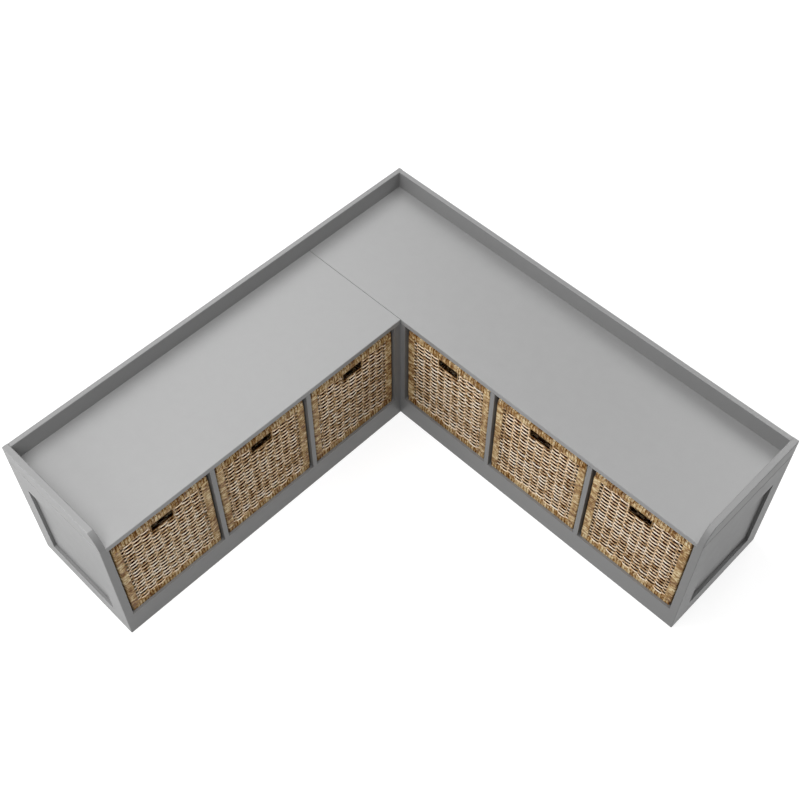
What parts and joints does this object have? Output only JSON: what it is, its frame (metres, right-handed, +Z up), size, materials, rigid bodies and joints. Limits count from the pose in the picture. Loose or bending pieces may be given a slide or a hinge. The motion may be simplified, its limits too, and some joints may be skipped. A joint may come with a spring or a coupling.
{
  "type": "corner storage bench",
  "caption": "Low L-shaped hallway bench that fills a room corner, with a board seat, a shallow upstand along the walls and ends, and open bays for woven pull-out baskets.",
  "frame": {"origin": "middle of the bench's footprint box on the floor", "axes": "+Z up; the long unit stands along the +Y side with its back to +Y, and the short unit along the -X side with its back to -X, so the corner of the room is at -X, +Y"},
  "size_m": [1.451, 1.457, 0.508],
  "materials": {
    "painted_board": "satin",
    "woven_seagrass": "matte",
    "seagrass_binding": "matte",
    "frame_wire": "satin",
    "zinc_plated_steel": "satin"
  },
  "bodies": {
    "bench": {"long_seat_board": "painted_board", "long_front_plinth_rail": "painted_board", "long_bottom_board": "painted_board", "long_rear_plinth_rail": "painted_board", "long_back_panel": "painted_board", "long_divider_inner": "painted_board", "long_divider_outer": "painted_board", "long_end_front_stile": "painted_board", "long_end_rear_stile": "painted_board", "long_end_top_rail": "painted_board", "long_end_bottom_rail": "painted_board", "long_end_panel": "painted_board", "long_end_upstand": "painted_board", "long_back_upstand": "painted_board", "corner_end_panel": "painted_board", "corner_partition": "painted_board", "corner_blind_panel": "painted_board", "short_seat_board": "painted_board", "short_front_plinth_rail": "painted_board", "short_bottom_board": "painted_board", "short_rear_plinth_rail": "painted_board", "short_back_panel": "painted_board", "short_divider_inner": "painted_board", "short_divider_outer": "painted_board", "short_end_front_stile": "painted_board", "short_end_rear_stile": "painted_board", "short_end_top_rail": "painted_board", "short_end_bottom_rail": "painted_board", "short_end_panel": "painted_board", "short_end_upstand": "painted_board", "short_back_upstand": "painted_board", "short_inner_end": "painted_board", "connecting_bolt_rear": "zinc_plated_steel", "connecting_sleeve_rear": "zinc_plated_steel", "connecting_bolt_front": "zinc_plated_steel", "connecting_sleeve_front": "zinc_plated_steel"},
    "basket_long_inner": {"basket_long_inner_weave": "woven_seagrass", "basket_long_inner_border": "seagrass_binding", "basket_long_inner_wire_frame": "frame_wire"},
    "basket_long_middle": {"basket_long_middle_weave": "woven_seagrass", "basket_long_middle_border": "seagrass_binding", "basket_long_middle_wire_frame": "frame_wire"},
    "basket_long_outer": {"basket_long_outer_weave": "woven_seagrass", "basket_long_outer_border": "seagrass_binding", "basket_long_outer_wire_frame": "frame_wire"},
    "basket_short_inner": {"basket_short_inner_weave": "woven_seagrass", "basket_short_inner_border": "seagrass_binding", "basket_short_inner_wire_frame": "frame_wire"},
    "basket_short_middle": {"basket_short_middle_weave": "woven_seagrass", "basket_short_middle_border": "seagrass_binding", "basket_short_middle_wire_frame": "frame_wire"},
    "basket_short_outer": {"basket_short_outer_weave": "woven_seagrass", "basket_short_outer_border": "seagrass_binding", "basket_short_outer_wire_frame": "frame_wire"}
  },
  "joints": [
    {"name": "pull_long_inner", "type": "slide", "parent": "bench", "child": "basket_long_inner", "axis": [0, -1, 0], "range_m": [0, 0.365]},
    {"name": "pull_long_middle", "type": "slide", "parent": "bench", "child": "basket_long_middle", "axis": [0, -1, 0], "range_m": [0, 0.365]},
    {"name": "pull_long_outer", "type": "slide", "parent": "bench", "child": "basket_long_outer", "axis": [0, -1, 0], "range_m": [0, 0.365]},
    {"name": "push_short_inner", "type": "slide", "parent": "bench", "child": "basket_short_inner", "axis": [-1, 0, 0], "range_m": [-0.365, 0]},
    {"name": "pull_short_middle", "type": "slide", "parent": "bench", "child": "basket_short_middle", "axis": [1, 0, 0], "range_m": [0, 0.365]},
    {"name": "pull_short_outer", "type": "slide", "parent": "bench", "child": "basket_short_outer", "axis": [1, 0, 0], "range_m": [0, 0.365]}
  ]
}
